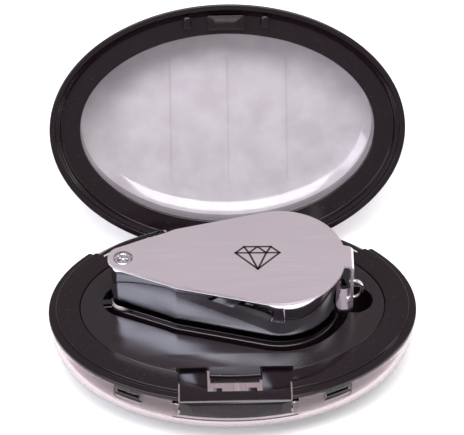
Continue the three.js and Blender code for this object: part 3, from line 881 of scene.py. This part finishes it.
def gem_mark():
    """A plain cut-gem outline, inlaid flush in the top plate."""
    top = [(-5.6, 1.4), (-3.4, 3.6), (3.4, 3.6), (5.6, 1.4), (0, -4.4)]
    middle = [(-5.6, 1.4), (-2.2, 1.4), (2.2, 1.4), (5.6, 1.4)]
    strokes = list(zip(top, top[1:] + top[:1])) + list(zip(middle, middle[1:]))
    strokes += [((-3.4, 3.6), (-2.2, 1.4)), ((-2.2, 1.4), (0, 3.6)), ((0, 3.6), (2.2, 1.4)),
                ((2.2, 1.4), (3.4, 3.6)), ((-2.2, 1.4), (0, -4.4)), ((2.2, 1.4), (0, -4.4))]
    pieces = []
    for (x0, y0), (x1, y1) in strokes:
        along = Vector((x1 - x0, y1 - y0)).normalized() * GEM_STROKE
        across = Vector((-along.y, along.x))
        corners = [Vector((x0, y0)) - along - across, Vector((x1, y1)) + along - across,
                   Vector((x1, y1)) + along + across, Vector((x0, y0)) - along + across]
        outline = [(GEM_X + corner.x, corner.y) for corner in corners]
        pieces.append(slab([outline], COVER_HIGH - 0.1, COVER_HIGH + 0.015))
    mark = join(*pieces)
    place(mark, "gem_mark", AT_LOUPE, "loupe_case", MARK_INK, "cover_steel")


def lens_stack():
    """The triplet, each lens the solid between its two spherical faces."""
    def face(z, radius, r):
        return z - radius + math.copysign(math.sqrt(radius * radius - r * r), radius)
    radii = [LENS_RADIUS * i / 14 for i in range(15)]
    for name, (z0, r0), (z1, r1) in LENSES:
        profile = [(r, face(z0, r0, r)) for r in radii] + [(r, face(z1, r1, r)) for r in reversed(radii)]
        lens = lathe(profile, (LENS_X, 0), 96)
        place(lens, name + "_glass", AT_LOUPE, "lens_unit", GLASS, "lens_glass", name)


def retaining_rings():
    for name, z in (("retaining_ring_lower", 2.1), ("retaining_ring_upper", 13.3)):
        ring = lathe(rounded([
            (RETAINING_BORE, z, 0.2),
            (LENS_RADIUS, z, 0.15),
            (LENS_RADIUS, z + RETAINING_HEIGHT, 0.15),
            (RETAINING_BORE, z + RETAINING_HEIGHT, 0.2),
        ], 3), (LENS_X, 0), 96)
        for x in (LENS_X - NOTCH_RADIUS, LENS_X + NOTCH_RADIUS):
            cut(ring, box(x - 1.2, x + 1.2, -0.5, 0.5, z - 1, z + PAST))
        place(ring, name + "_turned", AT_LOUPE, "lens_unit", RING_BLACK, "ring_black", name)


def lanyard_bail():
    points = [(BAIL_END, 0, BAIL_MIDDLE - BAIL_HALF)]
    for i in range(33):
        angle = math.radians(-90 + 180 * i / 32)
        points.append((BAIL_START + BAIL_REACH * math.cos(angle), 0,
                       BAIL_MIDDLE + BAIL_HALF * math.sin(angle)))
    points.append((BAIL_END, 0, BAIL_MIDDLE + BAIL_HALF))
    wire = tube(points, BAIL_WIRE, "bail", 8)
    place(wire, "lanyard_bail_wire", AT_LOUPE, "bail", BRIGHT_STEEL, "steel", "lanyard_bail")


def dress_small_parts():
    """The CAD nodes that stay as they are get their own materials."""
    looks = {"hinge_pin": BRIGHT_STEEL, "pivot_washer_upper": NYLON, "pivot_washer_lower": NYLON}
    for name, material in looks.items():
        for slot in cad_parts[name].material_slots:
            slot.material = material


# Studio ----------------------------------------------------------------------------------------------

def area_light(name, place_m, size, energy, color=(1, 1, 1)):
    data = bpy.data.lights.new(name, "AREA")
    data.shape = "RECTANGLE"
    data.size, data.size_y = size
    data.energy = energy
    data.color = color
    light = bpy.data.objects.new(name, data)
    light.location = place_m
    aim = Vector(LIGHT_TARGET_M) - Vector(place_m)
    light.rotation_euler = aim.to_track_quat("-Z", "Y").to_euler()
    bpy.context.collection.objects.link(light)


def studio():
    corners = [(x * FLOOR_HALF, y * FLOOR_HALF, 0) for x, y in ((-1, -1), (1, -1), (1, 1), (-1, 1))]
    floor = add_mesh("floor", corners, [(0, 1, 2, 3)])
    look = Look("floor_paper", (0.88, 0.87, 0.88), 0.8, Emission_Strength=0.25)
    look.set("Emission Color", (1.0, 0.99, 1.0, 1.0))
    look.roughness(look.noise(20), 0.75, 0.85)
    floor.data.materials.append(look.material)
    world = bpy.data.worlds.new("studio")
    world.use_nodes = True
    background = world.node_tree.nodes["Background"]
    background.inputs["Color"].default_value = (1.0, 0.985, 0.995, 1)
    background.inputs["Strength"].default_value = 0.56
    bpy.context.scene.world = world
    area_light("top_softbox", (0, -0.45, 1.2), (0.9, 0.5), 17)
    area_light("left_softbox", (-0.74, -0.58, 0.91), (0.5, 0.5), 7, (0.88, 0.91, 1.0))
    area_light("right_softbox", (0.9, 0.0, 0.45), (0.3, 0.6), 2)
    bpy.context.scene.view_settings.view_transform = "Standard"


def camera():
    level = math.cos(CAMERA_ELEVATION)
    back = Vector((math.sin(CAMERA_AZIMUTH) * level, -math.cos(CAMERA_AZIMUTH) * level,
                   math.sin(CAMERA_ELEVATION)))
    data = bpy.data.cameras.new("camera")
    data.lens = CAMERA_LENS
    data.sensor_width = 36
    data.clip_end = 20
    cam = bpy.data.objects.new("camera", data)
    cam.location = (Vector(CAMERA_PLACE) + Vector((0, 0, LEDGE_HEIGHT))) * MM
    cam.rotation_euler = back.to_track_quat("Z", "Y").to_euler()
    bpy.context.collection.objects.link(cam)
    bpy.context.scene.camera = cam


studio()
camera()
base_shell()
base_tray()
loupe_cradle()
latch_button()
latch_springs()
lid_frame()
lid_cover()
loupe_cover()
lens_body()
pivot_rivet()
gem_mark()
lens_stack()
retaining_rings()
lanyard_bail()
dress_small_parts()
